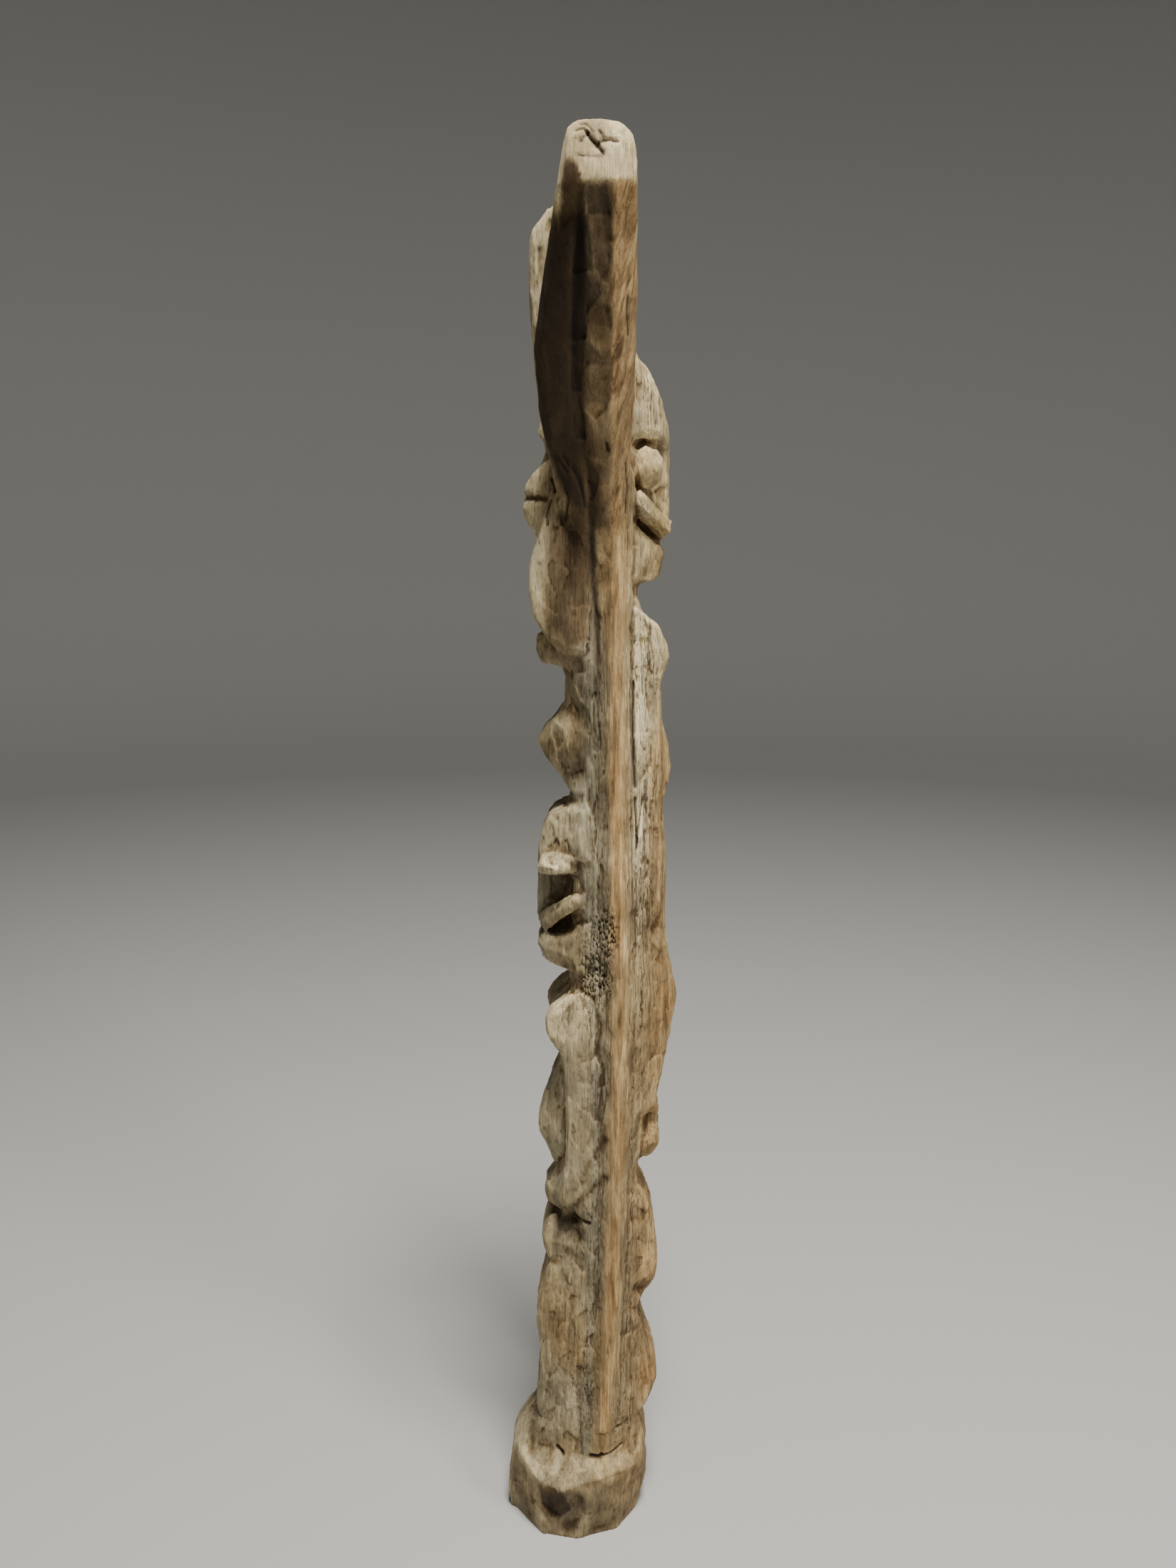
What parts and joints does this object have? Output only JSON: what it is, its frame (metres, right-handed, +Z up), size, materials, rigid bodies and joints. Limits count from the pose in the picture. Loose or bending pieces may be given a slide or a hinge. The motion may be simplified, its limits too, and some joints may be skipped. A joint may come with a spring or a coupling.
{
  "type": "carved wooden pillar",
  "caption": "Slender pillar carved from one log: stacked figures back to back, a smooth ridge, a leaning prow at the top and a rough round foot.",
  "frame": {"origin": "middle of the foot's flat underside, which stands on the ground", "axes": "+Z up the pillar, -Y towards the viewer and the prow, +X towards the right-hand row of figures"},
  "size_m": [0.0778, 0.1066, 0.6],
  "materials": {
    "dry_wood": "dry, unvarnished, weathered"
  },
  "bodies": {
    "root": {"carved_pillar": "dry_wood"}
  },
  "joints": []
}
